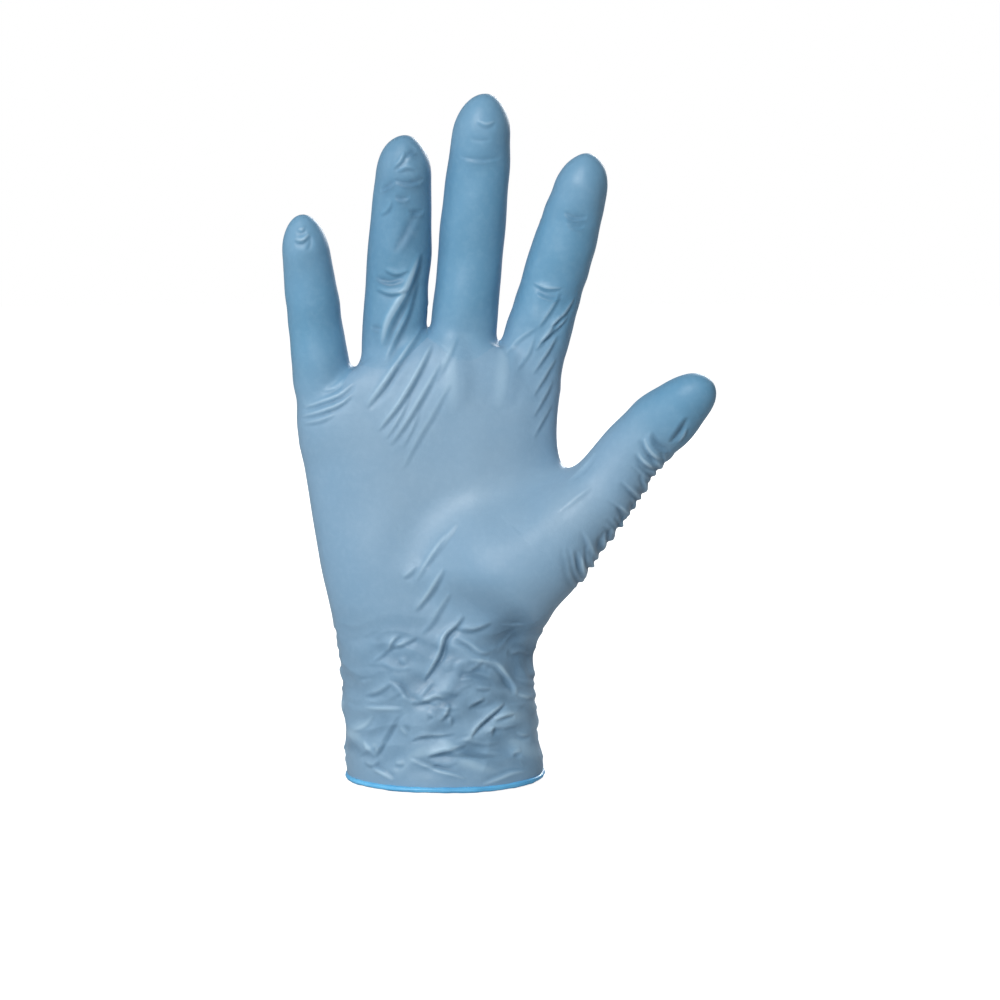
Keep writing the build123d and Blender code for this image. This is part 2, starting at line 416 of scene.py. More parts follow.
def film_piece(name, points, normals, faces, rest, tint, material):
    """A closed thin sheet: the outer face, the inner face one wall inside it, and their edge."""
    used, local = np.unique(faces, return_inverse=True)
    local = local.reshape(faces.shape)
    outer, n = points[used], normals[used]
    count = len(used)
    edges = np.concatenate([local[:, [k, (k + 1) % 4]] for k in range(4)])
    keys = edges[:, 0] * count + edges[:, 1]
    back = edges[:, 1] * count + edges[:, 0]
    rim = edges[~np.isin(keys, back)]
    rim_faces = np.stack([rim[:, 1], rim[:, 0], rim[:, 0] + count, rim[:, 1] + count], 1)
    every = np.concatenate([local, local[:, ::-1] + count, rim_faces])
    verts = np.concatenate([outer, outer - n * WALL]) * MM
    mesh = bpy.data.meshes.new(name)
    mesh.vertices.add(len(verts))
    mesh.vertices.foreach_set("co", verts.astype(np.float32).ravel())
    mesh.loops.add(every.size)
    mesh.loops.foreach_set("vertex_index", every.astype(np.int32).ravel())
    mesh.polygons.add(len(every))
    mesh.polygons.foreach_set("loop_start", np.arange(0, every.size, 4, dtype=np.int32))
    mesh.update(calc_edges=True)
    mesh.polygons.foreach_set("use_smooth", np.ones(len(every), bool))
    on_rim = np.zeros(len(verts), bool)
    on_rim[rim.ravel()] = True
    on_rim[rim.ravel() + count] = True
    ends = np.empty(len(mesh.edges) * 2, np.int32)
    mesh.edges.foreach_get("vertices", ends)
    ends = ends.reshape(-1, 2)
    sheet = ends // count
    low, high = np.sort(ends % count, 1).T
    rim_keys = np.unique(np.sort(rim, 1) @ np.array([count, 1]))
    sharp = on_rim[ends].all(1) & (sheet[:, 0] == sheet[:, 1]) & np.isin(low * count + high, rim_keys)
    mesh.attributes.new("sharp_edge", "BOOLEAN", "EDGE").data.foreach_set("value", sharp)
    rest_mm = np.concatenate([rest[used], rest[used]]) * MM
    place = mesh.attributes.new("rest_place", "FLOAT_VECTOR", "POINT")
    place.data.foreach_set("vector", rest_mm.astype(np.float32).ravel())
    for label, values in tint.items():
        attribute = mesh.attributes.new(label, "FLOAT", "POINT")
        attribute.data.foreach_set("value", np.tile(values[used], 2).astype(np.float32))
    corner_normals = np.concatenate([n, -n])[every]
    rim_n = np.cross(verts[rim_faces[:, 2]] - verts[rim_faces[:, 0]],
                     verts[rim_faces[:, 3]] - verts[rim_faces[:, 1]])
    rim_n /= np.maximum(np.linalg.norm(rim_n, axis=1, keepdims=True), 1e-12)
    corner_normals[len(local) * 2:] = rim_n[:, None, :]
    mesh.normals_split_custom_set(corner_normals.reshape(-1, 3))
    mesh.materials.append(material)
    piece = bpy.data.objects.new(name, mesh)
    bpy.context.collection.objects.link(piece)
    return piece


# ---------------------------------------------------------------- folds and wrinkles

class Relief:
    """Heights added to the smooth skin, in mm, and painted light on each place: above zero a painted
    highlight along fold crests, below zero painted shade.
    """

    def __init__(self, points):
        self.height = np.zeros(len(points), np.float32)
        self.painted_light_and_shade = np.zeros(len(points), np.float32)

    def fold(self, chart, mask, line, width, height, valley=0.0):
        """A crest along a smooth line; its valley is on the lower right, or upper left if negative."""
        line = np.array(line, np.float32)
        reach = 7 * width
        low, high = line.min(0) - reach, line.max(0) + reach
        near = np.flatnonzero((mask > 0) & (chart > low).all(1) & (chart < high).all(1))
        if not len(near):
            return
        run = np.concatenate([[0], np.cumsum(np.hypot(*np.diff(line, axis=0).T))])
        at = np.linspace(0, run[-1], 14)
        if len(line) > 2:
            path = np.stack([curve(at, np.stack([run, line[:, n]], 1)) for n in (0, 1)], 1)
        else:
            path = line[0] + (line[1] - line[0]) * (at / run[-1])[:, None]
        p = chart[near][:, None, :]
        a, d = path[:-1][None], np.diff(path, axis=0)[None]
        t = np.clip(((p - a) * d).sum(-1) / (d * d).sum(-1), 0, 1)
        gap = p - (a + t[..., None] * d)
        away = np.hypot(gap[..., 0], gap[..., 1])
        best = away.argmin(1)
        rows = np.arange(len(near))
        side = np.sign(gap[rows, best, 0] * d[0, best, 1] - gap[rows, best, 1] * d[0, best, 0])
        whole = line[-1] - line[0]
        side = side if whole[0] + whole[1] > 0 else -side
        away = away[rows, best] * side
        share = np.clip((best + t[rows, best]) / (len(path) - 1), 0, 1)
        fade = np.sin(pi * share) ** 0.6
        slim = width * (0.7 + 0.5 * fade)
        shape = np.exp(1 - np.sqrt(1 + (away / slim) ** 2))
        if valley:
            beside = away - np.sign(valley) * 2.0 * slim
            shape = shape - abs(valley) * np.exp(1 - np.sqrt(1 + (beside / (1.1 * slim)) ** 2))
        self.height[near] += mask[near] * height * fade * shape
        # painted highlight along a crest (painted shade along a groove where the height is below zero);
        # below it, painted shade in the valley beside it
        painted_light_and_shade = mask[near] * height * fade * (np.exp(-(away / slim) ** 2))
        if valley:
            painted_light_and_shade = painted_light_and_shade - 0.9 * mask[near] * abs(height) * fade * np.exp(-(beside / slim) ** 2)
        self.painted_light_and_shade[near] += painted_light_and_shade

    def scatter(self, chart, mask, count, box, seed, long, width, height, angle):
        """Random short folds in a box of the chart; each of the last four is a range."""
        rng = np.random.default_rng(seed)
        for _ in range(count):
            middle = np.array([rng.uniform(*box[0]), rng.uniform(*box[1])])
            turn = radians(rng.uniform(*angle))
            half = rng.uniform(*long) / 2 * np.array([cos(turn), sin(turn)])
            bow = rng.uniform(-0.22, 0.22) * np.array([-half[1], half[0]])
            line = [middle - half, middle + bow, middle + half]
            side = rng.choice([0.8, 0.8, 0.8, -0.8])
            self.fold(chart, mask, line, rng.uniform(*width), rng.uniform(*height), side)

    def add(self, values):
        """Adds a height to every point."""
        self.height += values.astype(np.float32)


def noise(points, size, seed):
    """Smooth random field over the points, about -1 to 1, with features of about size mm."""
    rng = np.random.default_rng(seed)
    total = np.zeros(len(points), np.float32)
    for _ in range(9):
        way = rng.normal(size=points.shape[1])
        way *= 2 * pi / (size * rng.uniform(0.75, 1.4) * np.linalg.norm(way))
        total += np.sin(points @ way.astype(np.float32) + rng.uniform(0, 2 * pi))
    return total / 3.6


def digit_chart(digit, points):
    """Distance round a digit from the middle of its palm side, and station along it."""
    s, u, v = digit.local(points)
    return np.stack([np.arctan2(u, -v) * CHART_R, s], 1)


def across(c, s):
    """Chart point for a place seen c mm to the side of a digit's middle line."""
    return (CHART_R * np.arcsin(np.clip(c / 10.5, -1, 1)), s)


def seen(points):
    """Where points appear from the camera, in mm on the upright plane through the target."""
    x, y, z = (points - np.array(TARGET, np.float32)).T
    tilt = radians(ELEVATION)
    scale = DISTANCE / (DISTANCE + y * cos(tilt) - z * sin(tilt))
    return np.stack([TARGET[0] + x * scale, TARGET[2] + (z * cos(tilt) + y * sin(tilt)) * scale], 1)


# Folds of the palm as the camera sees them, in mm: points on the line, width, height, valley
PALM_FOLDS = [
    # creases round the base of the little finger
    ([(-46.5, 124.6), (-40.5, 126.6), (-34.6, 128.9), (-29.9, 132.7)], 0.48, 0.68, 0.9),
    ([(-47.4, 121.6), (-40.2, 123.6), (-34.6, 125.8), (-30.5, 128.8)], 0.48, 0.68, 0.9),
    ([(-46.6, 119.4), (-41.0, 120.6), (-36.0, 122.6)], 0.48, 0.42, 0.8),
    ([(-40.0, 130.0), (-36.0, 131.4), (-32.5, 134.4)], 0.48, 0.34, 0.8),
    # long pulls from between the ring and middle fingers to the lower left
    ([(-7.0, 152.0), (-13.0, 143.0), (-20.0, 133.0), (-26.0, 125.0)], 0.64, 0.77, 0.9),
    ([(-4.0, 146.0), (-9.0, 136.0), (-15.0, 126.0), (-22.0, 117.0)], 0.64, 0.85, 0.9),
    ([(-1.0, 140.0), (-6.0, 131.0), (-12.0, 121.0), (-18.0, 112.0)], 0.64, 0.59, 0.9),
    ([(2.0, 133.0), (-3.0, 124.0), (-9.0, 114.0), (-14.0, 104.0)], 0.64, 0.34, 0.8),
    ([(-15.5, 139.0), (-20.0, 131.5), (-25.5, 124.5)], 0.48, 0.38, 0.8),
    ([(-11.0, 129.0), (-15.5, 120.5), (-19.5, 114.0)], 0.48, 0.38, 0.8),
    ([(-8.0, 124.0), (-11.0, 117.0), (-14.0, 111.0)], 0.48, 0.26, 0.8),
    ([(4.5, 148.0), (0.5, 140.0), (-3.5, 132.0)], 0.56, 0.26, 0.8),
    # short pulls in the middle of the palm
    ([(4.5, 86.5), (-1.0, 79.5), (-6.5, 72.0)], 0.56, 0.34, 0.8),
    ([(0.5, 83.0), (-4.5, 75.5), (-9.5, 67.0)], 0.56, 0.38, 0.8),
    ([(-0.1, 71.6), (-5.2, 63.2), (-9.8, 57.2)], 0.64, 0.68, 0.9),
    ([(-9.3, 72.2), (-11.5, 70.0), (-13.9, 68.3)], 0.56, 0.42, 0.8),
    ([(2.0, 63.5), (-2.0, 57.5), (-5.4, 52.1), (-7.9, 49.6)], 0.64, 0.42, 0.9),
    # pulls at the outer side of the index finger's base
    ([(31.0, 151.0), (35.5, 157.5), (38.5, 163.0)], 0.52, 0.47, 0.9),
    ([(30.0, 143.5), (34.5, 149.5), (38.5, 155.5)], 0.52, 0.55, 0.9),
    ([(29.5, 136.0), (33.5, 142.0), (37.5, 148.5)], 0.52, 0.55, 0.9),
    ([(29.5, 128.5), (33.0, 134.5), (37.0, 141.0)], 0.52, 0.51, 0.9),
    ([(29.5, 121.5), (32.5, 127.0), (36.0, 133.5)], 0.52, 0.42, 0.9),
    ([(29.5, 114.5), (32.0, 119.5), (35.5, 125.5)], 0.52, 0.38, 0.9),
    ([(20.5, 142.5), (25.0, 147.5), (31.0, 151.5)], 0.48, 0.34, 0.8),
    ([(24.0, 137.0), (27.5, 142.0), (30.0, 148.0)], 0.48, 0.3, 0.8),
    # broad soft bands under the fingers
    ([(20.0, 146.0), (19.5, 136.0), (18.0, 124.0)], 2.2, 0.42, 0.5),
    ([(1.0, 150.0), (2.5, 138.0), (3.0, 122.0)], 2.4, 0.34, 0.5),
    # the thumb's web
    ([(41.0, 100.0), (46.0, 104.5), (51.0, 110.5)], 0.56, 0.3, 0.7),
    ([(38.0, 90.0), (43.0, 94.0), (49.0, 98.5)], 0.56, 0.26, 0.7),
]

# Folds of the loose wrist and cuff as the camera sees them, in mm: line, width, height, valley
CUFF_FOLDS = [
    ([(6.3, 56.0), (4.3, 53.2), (0.2, 49.2), (-1.6, 43.4), (-4.4, 38.2), (-7.2, 34.2)], 0.6, 1.2, 1.2),
    ([(3.6, 52.0), (9.6, 51.6), (15.6, 53.4)], 0.64, 0.64, 0.8),
    ([(4.2, 48.6), (8.9, 46.1), (12.2, 43.8), (15.8, 43.0)], 0.56, 0.64, 0.9),
    ([(-14.6, 49.4), (-17.0, 47.6), (-18.8, 43.6)], 0.56, 0.72, 0.9),
    ([(-9.0, 48.8), (-13.0, 46.9), (-17.4, 45.2)], 0.52, 0.64, 0.9),
    ([(-15.0, 41.4), (-12.0, 40.2)], 0.72, 0.48, 0.6),
    ([(-20.5, 40.0), (-16.0, 38.4), (-10.5, 38.6)], 0.56, 0.28, 0.7),
    ([(14.2, 41.0), (18.3, 39.4), (21.0, 36.8), (23.6, 32.8), (24.2, 29.4)], 0.72, 0.88, -0.9),
    ([(8.0, 41.2), (13.1, 40.8), (18.2, 38.2)], 0.48, 0.4, 1.0),
    ([(8.4, 37.0), (12.4, 36.4), (16.0, 35.2)], 0.48, 0.32, 0.8),
    ([(10.6, 32.0), (13.0, 31.8), (15.6, 31.7)], 0.48, 0.56, 0.9),
    ([(-26.6, 29.4), (-21.9, 31.0), (-17.4, 33.8)], 0.56, 0.48, 0.8),
    ([(-18.4, 33.8), (-14.8, 31.4), (-12.5, 28.2), (-10.0, 26.9)], 0.56, 0.6, -0.8),
    ([(-11.0, 26.8), (-6.8, 27.6), (-2.0, 29.1), (0.6, 28.2)], 0.56, 0.72, 0.9),
    ([(-26.4, 25.4), (-20.0, 25.0), (-13.4, 24.8)], 0.48, 0.48, -0.9),
    ([(1.6, 26.6), (0.6, 23.4), (-1.6, 20.8)], 0.52, 0.72, 0.9),
    ([(-5.0, 24.0), (-2.8, 22.2)], 0.56, 0.4, 0.7),
    ([(1.9, 22.2), (2.1, 18.8)], 0.48, 0.48, 0.8),
    ([(13.6, 28.6), (11.0, 27.4), (7.8, 25.4)], 0.52, 0.72, 0.9),
    ([(20.2, 26.8), (16.9, 24.3), (13.6, 21.4), (11.0, 18.8), (8.6, 15.6)], 0.56, 1.2, 1.1),
    ([(23.2, 23.4), (20.4, 22.8), (16.8, 21.2)], 0.52, 0.88, 1.1),
    ([(16.2, 19.2), (15.7, 15.6)], 0.52, 0.56, 0.8),
    ([(17.4, 27.4), (14.6, 25.8), (10.0, 24.8)], 0.48, -0.4, 0.0),
    ([(-14.2, 22.2), (-17.6, 16.4), (-22.2, 9.2)], 0.48, -0.56, -0.7),
    ([(-14.6, 19.0), (-12.0, 16.0)], 0.64, 0.48, 0.6),
    ([(-27.0, 14.0), (-25.0, 11.4), (-23.0, 9.2)], 0.48, 0.48, 0.8),
    ([(-20.4, 13.6), (-22.0, 11.2), (-23.4, 9.0)], 0.48, 0.48, 0.8),
    ([(-11.4, 14.4), (-6.8, 16.2), (-2.0, 16.2), (4.0, 16.8)], 0.48, 0.64, 0.9),
    ([(-6.0, 9.2), (-1.1, 10.6), (3.6, 12.0), (7.8, 13.2)], 0.52, 0.72, 0.9),
    ([(-5.4, 8.4), (2.0, 8.9), (11.0, 8.6), (20.6, 8.4)], 0.48, -0.56, -0.6),
    ([(6.0, 15.0), (12.0, 13.4), (19.0, 13.8)], 0.48, 0.32, 0.8),
    ([(-26.4, 7.6), (-23.6, 6.4), (-22.0, 7.6)], 0.48, 0.48, 0.8),
    ([(-24.0, 5.4), (-20.0, 3.2), (-16.6, 0.8)], 0.52, 0.64, -0.8),
    ([(-16.4, 7.0), (-13.0, 6.8)], 0.64, 0.56, 0.9),
    ([(-11.4, 8.2), (-6.8, 6.0), (-2.0, 4.1), (3.6, 2.7), (7.2, 1.4)], 0.52, 0.72, -0.8),
    ([(-4.0, 6.6), (0.5, 6.2), (4.6, 7.2)], 0.48, 0.28, 0.8),
    ([(12.8, -0.6), (18.3, 1.4), (23.0, 3.2), (27.6, 3.7)], 0.52, 0.64, -0.9),
    ([(22.6, 9.4), (24.0, 10.6), (25.8, 10.8)], 0.56, 0.56, 0.9),
    ([(25.0, 29.4), (27.2, 28.8), (29.6, 28.8)], 0.48, 0.48, 0.9),
    ([(24.4, 16.8), (26.0, 16.2), (28.2, 16.4)], 0.48, 0.48, 0.9),
]

# Folds of the digits: digit, points as (mm to the side of the middle line, station), width, height, valley
DIGIT_FOLDS = [
    ("ring", [(7.2, 34.5), (3.4, 22.0), (-2.0, 11.5), (-3.8, 3.0)], 1.2, 1.24, 0.9),
    ("ring", [(7.5, 25.0), (4.5, 15.0), (0.5, 6.0), (-2.0, -1.0)], 0.8, 0.79, 0.9),
    ("ring", [(6.4, 48.0), (3.0, 42.0), (-1.4, 34.0)], 1.12, -0.68, 0.4),
    ("ring", [(-7.6, 25.8), (-2.5, 24.6), (2.6, 25.8)], 0.48, -0.68, 0.6),
    ("ring", [(-7.0, 22.2), (-1.0, 21.0), (4.5, 22.6)], 0.48, 0.68, 0.8),
    ("ring", [(-4.5, 28.6), (0.0, 27.4), (4.0, 28.8)], 0.48, 0.56, 0.8),
    ("ring", [(-7.5, 9.6), (-3.4, 9.0)], 0.48, -0.51, 0.5),
    ("ring", [(-3.0, 57.0), (2.5, 56.4), (8.0, 58.0)], 0.48, -0.68, 0.8),
    ("ring", [(-8.0, 53.6), (-5.0, 55.4), (-2.6, 56.8)], 0.48, -0.56, 0.8),
    ("ring", [(-2.4, 51.8), (0.4, 51.4), (3.2, 52.0)], 0.48, -0.56, 0.8),
    ("ring", [(3.0, 47.6), (6.0, 47.0), (8.4, 48.2)], 0.48, -0.56, 0.8),
    ("ring", [(-7.6, 46.0), (-5.0, 48.0), (-4.0, 50.4)], 0.48, 0.45, 0.8),
    ("ring", [(1.2, 64.4), (3.6, 66.2), (6.4, 67.0)], 0.48, -0.68, 0.8),
    ("ring", [(-4.0, 61.0), (-1.0, 63.4), (0.6, 66.4)], 0.48, 0.56, 0.8),
    ("ring", [(-2.0, 60.0), (1.6, 61.6), (5.6, 61.0)], 0.48, 0.45, 0.8),
    ("little", [(-4.6, 49.0), (-0.6, 48.2), (4.2, 49.8)], 0.48, 0.6, 0.9),
    ("little", [(-3.0, 52.0), (0.4, 51.6), (2.2, 52.4)], 0.48, 0.45, 0.8),
    ("little", [(1.4, 44.6), (3.4, 46.6), (4.6, 49.0)], 0.48, -0.4, 0.0),
    ("middle", [(-7.6, 60.6), (0.0, 59.8), (7.6, 61.0)], 0.48, -0.45, 0.7),
    ("middle", [(-2.0, 72.0), (1.5, 71.2), (5.0, 72.4)], 0.48, 0.45, 0.8),
    ("middle", [(-4.0, 66.5), (0.0, 66.0), (4.0, 66.8)], 0.48, -0.26, 0.0),
    ("index", [(-4.0, 44.6), (0.0, 43.8), (5.0, 45.0)], 0.48, -0.65, 0.8),
    ("index", [(-2.0, 41.8), (2.0, 41.2), (5.0, 42.0)], 0.48, -0.45, 0.8),
    ("index", [(-7.0, 20.0), (-2.0, 19.6), (3.5, 21.0)], 0.48, 0.65, 0.9),
    ("index", [(-5.0, 17.4), (0.0, 17.2), (5.0, 18.6)], 0.48, -0.52, 0.8),
    ("index", [(3.0, 8.0), (6.5, 13.5), (8.6, 19.0)], 0.48, 0.65, 0.9),
    ("index", [(1.0, 2.0), (5.0, 7.5), (8.0, 13.0)], 0.48, 0.59, 0.9),
    ("thumb", [(8.9, 31.5), (8.5, 36.5), (7.4, 41.5)], 0.6, -0.8, -0.5),
    ("thumb", [(9.8, 33.0), (9.6, 36.0), (9.0, 38.6)], 0.5, 0.5, 0.6),
    ("thumb", [(3.0, 30.4), (6.6, 28.8), (10.0, 29.4)], 0.56, -0.8, 0.9),
    ("thumb", [(2.6, 27.0), (6.6, 25.4), (10.2, 25.6)], 0.56, 0.8, 0.9),
    ("thumb", [(4.4, 22.4), (7.0, 21.6), (10.4, 22.4)], 0.56, 0.8, 0.9),
]


def digit_relief(relief, points, fields):
    """Creases and small wrinkles of the fingers and the thumb."""
    nearest, close = fields.argmin(0), fields.min(0) < 2.5
    for number, (name, digit) in enumerate(DIGITS.items()):
        chart = digit_chart(digit, points)
        own = ((nearest == number) & close & (chart[:, 1] > -22)).astype(np.float32)
        for owner, line, width, height, valley in DIGIT_FOLDS:
            if owner == name:
                relief.fold(chart, own, [across(*p) for p in line], width, height, valley)
        # wrinkles bunched over the back of each joint, where the chart wraps round
        wrapped = chart.copy()
        wrapped[:, 0] = wrapped[:, 0] % (2 * pi * CHART_R)
        back = (0.7 * pi * CHART_R, 1.3 * pi * CHART_R)
        for station in stations_of(name)[0]:
            box = (back, (station - 5.5, station + 5.5))
            relief.scatter(wrapped, own, 9, box, 60 + number + int(station), (7, 16), (0.6, 0.8),
                           (0.25, 0.55), (-14, 14))
        box = (back, (-4, digit.length - 6))
        relief.scatter(wrapped, own, 12, box, 90 + number, (4, 10), (0.6, 0.8), (0.15, 0.35), (20, 160))
        relief.add(own * 0.10 * noise(points, 9.0, 40 + number))


def thumb_fan(relief, points, fields):
    """Tight folds that fan out from the outer side of the thumb."""
    rng = np.random.default_rng(7)
    chart = digit_chart(DIGITS["thumb"], points)
    close = (fields[list(DIGITS).index("thumb")] < NEAR_DIGIT).astype(np.float32)
    for k in range(FAN_FOLDS):
        s = -24.0 + 1.9 * k + rng.uniform(-0.9, 0.9)
        reach = rng.uniform(6.0, 17.0)
        rise = 0.8 + rng.uniform(-1.4, 1.4) + 0.28 * max(0.0, -s)
        outer, drop = rng.uniform(18.0, 27.0), rng.uniform(-0.6, 3.4)
        line = [(outer, s - drop), (16.0, s - 0.2 * drop), (22.0 - reach, s + rise)]
        relief.fold(chart, close, line, rng.uniform(0.42, 0.66), rng.uniform(0.35, 0.9), 1.0)
    # painted shade over the fan of folds on the thumb's outer side
    shadowed = np.exp(-((chart[:, 0] - 15) / 7) ** 2 - ((chart[:, 1] - 4) / 26) ** 4)
    relief.painted_light_and_shade -= 0.3 * close * shadowed


def cuff_relief(relief, points, flat, front):
    """The loose film of the wrist and cuff: shallow dents and sharp short folds all round."""
    x, y, z = points.T
    for line, width, height, valley in CUFF_FOLDS:
        relief.fold(flat, front, line, width, height, valley)
    round_cuff = 2 * pi * CUFF_R
    wrap = np.stack([(np.arctan2(y, x + 1.5) * CUFF_R + round_cuff / 4) % round_cuff, z], 1)
    loose = smooth_step(z, 2.0, 8.0) * (1 - smooth_step(z, 46.0, 64.0))
    turned = loose * (1 - 0.9 * front)
    box = ((20, round_cuff - 20), (4, 54))
    relief.scatter(wrap, turned, 62, box, 11, (9, 26), (0.5, 0.75), (0.35, 0.75), (-26, 36))
    relief.scatter(wrap, turned, 44, box, 12, (6, 12), (0.5, 0.65), (0.15, 0.5), (-50, 60))
    relief.scatter(wrap, turned, 30, box, 15, (14, 34), (1.3, 2.3), (0.3, 0.7), (-30, 45))
    box = ((-29, 28), (2, 52))
    relief.scatter(flat, loose * front, 40, box, 13, (4, 9), (0.45, 0.6), (0.15, 0.4), (-30, 50))
    relief.scatter(flat, loose * front, 24, box, 14, (12, 28), (1.3, 2.2), (0.2, 0.5), (-35, 50))
    bent = points * np.array([1.0, 1.0, 1.5], np.float32)
    bent = bent + 3.0 * np.stack([noise(points, 26.0, n) for n in (3, 4, 5)], 1)
    relief.add(loose * (0.45 * noise(bent, 24.0, 22) - 0.5 * np.abs(noise(bent, 19.0, 21))))
    relief.add(smooth_step(z, 0, 12) * 0.10 * noise(points, 16.0, 23))
    # the deep dent under the ball of the thumb, and painted shade in it and over the crumpled film of the
    # wrist
    shadowed = np.exp(-((flat[:, 0] - 23.5) / 7.5) ** 2 - ((flat[:, 1] - 45.0) / 10.5) ** 2)
    relief.add(-3.4 * front * shadowed)
    relief.painted_light_and_shade -= 0.5 * front * shadowed
    # painted shade over the middle of the wrist, and in a band round the wrist
    middle = np.exp(-((flat[:, 0] + 2) / 16) ** 2 - ((flat[:, 1] - 30) / 14) ** 2)
    relief.painted_light_and_shade -= 0.22 * front * middle
    relief.painted_light_and_shade -= 0.26 * smooth_step(z, 22, 36) * (1 - smooth_step(z, 50, 66))


def skin_relief(points, normals):
    """All folds and wrinkles of the worn film."""
    relief = Relief(points)
    flat = seen(points)
    front = smooth_step(-normals[:, 1], 0.02, 0.4)
    back = smooth_step(normals[:, 1], 0.02, 0.4)
    fields = np.stack([digit.field(points) for digit in DIGITS.values()])
    for line, width, height, valley in PALM_FOLDS:
        relief.fold(flat, front, line, width, height, valley)
    digit_relief(relief, points, fields)
    thumb_fan(relief, points, fields)
    cuff_relief(relief, points, flat, front)
    box = ((-36, 26), (62, 122))
    relief.scatter(flat, back, 15, box, 31, (22, 44), (0.9, 1.5), (0.25, 0.6), (68, 118))
    relief.scatter(flat, back, 22, box, 32, (9, 18), (0.6, 0.9), (0.1, 0.3), (55, 125))
    return relief


# ---------------------------------------------------------------- materials

def shade(red, green, blue):
    """A colour given as it looks on a screen, 0 to 255, as the shader wants it."""
    return tuple(((c / 255 + 0.055) / 1.055) ** 2.4 for c in (red, green, blue)) + (1,)


class Surface:
    """A material and short calls that add nodes in front of its shader."""

    def __init__(self, name):
        self.material = bpy.data.materials.new(name)
        self.material.use_nodes = True
        self.tree = self.material.node_tree
        self.shader = self.tree.nodes["Principled BSDF"]

    def node(self, kind, sockets, output=0, **settings):
        """Adds a node, feeds its sockets and gives back one output."""
        made = self.tree.nodes.new("ShaderNode" + kind)
        for key, value in settings.items():
            setattr(made, key, value)
        self.feed(made, sockets)
        return made.outputs[output]

    def feed(self, node, sockets):
        """Links each socket, or sets its value."""
        for key, value in sockets.items():
            if isinstance(value, bpy.types.NodeSocket):
                self.tree.links.new(value, node.inputs[key])
            else:
                node.inputs[key].default_value = value

    def attribute(self, name):
        return self.node("Attribute", {}, output="Fac", attribute_name=name)

    def noise(self, place, size, detail=2.0, roughness=0.5):
        """Smooth noise, 0 to 1, with features about size metres across."""
        return self.node("TexNoise", {"Vector": place, "Scale": 1 / size, "Detail": detail,
                                      "Roughness": roughness}, output="Fac")

    def spread(self, value, low, high, to_low=0.0, to_high=1.0):
        return self.node("MapRange", {"Value": value, "From Min": low, "From Max": high,
                                      "To Min": to_low, "To Max": to_high})

    def mix(self, share, first, second):
        return self.node("Mix", {0: share, 6: first, 7: second}, output=2, data_type="RGBA")

    def math(self, operation, first, second):
        return self.node("Math", {0: first, 1: second}, operation=operation)

    def bump(self, height, distance, strength=1.0, under=None):
        sockets = {"Height": height, "Distance": distance, "Strength": strength}
        if under is not None:
            sockets["Normal"] = under
        return self.node("Bump", sockets)


def film_material():
    """Satin nitrile film: deeper blue on the digits, lighter where it is pulled tight, with painted
    highlights along fold crests and painted shade in folds and hollows.
    """
    s = Surface("nitrile_film")
    place = s.node("Attribute", {}, output="Vector", attribute_name="rest_place")
    cloud = s.noise(place, 0.024, 3.0)
    speck = s.noise(place, 0.0022, 3.0, 0.6)
    colour = s.mix(s.attribute("digit_share"), CUFF_BLUE, DIGIT_BLUE)
    colour = s.mix(s.attribute("taut_share"), colour, TAUT_BLUE)
    # painted shade in folds, hollows and shaded places
    colour = s.mix(s.spread(s.attribute("painted_light_and_shade"), -0.05, -0.9, 0.0, 0.6), colour, PAINTED_SHADE_BLUE)
    # painted highlight along fold crests
    colour = s.mix(s.spread(s.attribute("painted_light_and_shade"), 0.05, 0.65, 0.0, 0.6), colour, PAINTED_HIGHLIGHT_AND_SPECK_BLUE)
    colour = s.mix(s.spread(cloud, 0.4, 0.65, 0.0, 0.16), colour, DEEP_BLUE)
    colour = s.mix(s.spread(speck, 0.45, 0.7, 0.0, 0.06), colour, PAINTED_HIGHLIGHT_AND_SPECK_BLUE)
    grain = s.noise(place, 0.00045, 2.0, 0.55)
    ripple = s.noise(place, 0.0034, 3.0, 0.55)
    normal = s.bump(ripple, 0.0003, 0.35)
    normal = s.bump(grain, 0.00004, 0.5, under=normal)
    roughness = s.math("ADD", s.spread(cloud, 0.3, 0.7, 0.40, 0.50), s.spread(grain, 0.3, 0.7, -0.03, 0.05))
    s.feed(s.shader, {"Base Color": colour, "Roughness": roughness, "Normal": normal,
                      "Specular IOR Level": 0.42, "Sheen Weight": 0.06, "Sheen Roughness": 0.5})
    return s.material


def bead_material():
    """The same film rolled up: thicker, so brighter and glossier."""
    s = Surface("rolled_bead")
    place = s.node("Attribute", {}, output="Vector", attribute_name="rest_place")
    cloud = s.noise(place, 0.011, 3.0)
    grain = s.noise(place, 0.0005, 2.0, 0.6)
    colour = s.mix(s.spread(cloud, 0.35, 0.7), BEAD_BLUE, BEAD_DEEP)
    normal = s.bump(s.noise(place, 0.0025, 2.0), 0.0002, 0.5)
    normal = s.bump(grain, 0.00004, 0.5, under=normal)
    s.feed(s.shader, {"Base Color": colour, "Roughness": s.spread(grain, 0.3, 0.7, 0.26, 0.38),
                      "Normal": normal, "Specular IOR Level": 0.5})
    return s.material


def floor_material():
    """Grey to the light and white to the camera."""
    s = Surface("studio_floor")
    place = s.node("TexCoord", {}, output="Object")
    colour = s.mix(s.noise(place, 0.4, 3.0), (0.40, 0.40, 0.40, 1), (0.44, 0.44, 0.44, 1))
    seen = s.node("LightPath", {}, output="Is Camera Ray")
    glow = s.math("MULTIPLY", seen, FLOOR_GLOW)
    s.feed(s.shader, {"Base Color": colour, "Roughness": 0.9, "Specular IOR Level": 0.1,
                      "Emission Color": (1, 1, 1, 1), "Emission Strength": glow})
    return s.material


FLOOR_GLOW = 0.96    # how bright the camera sees the floor, on its own
CUFF_BLUE = shade(132, 167, 194)
DIGIT_BLUE = shade(102, 154, 187)
TAUT_BLUE = shade(141, 172, 196)
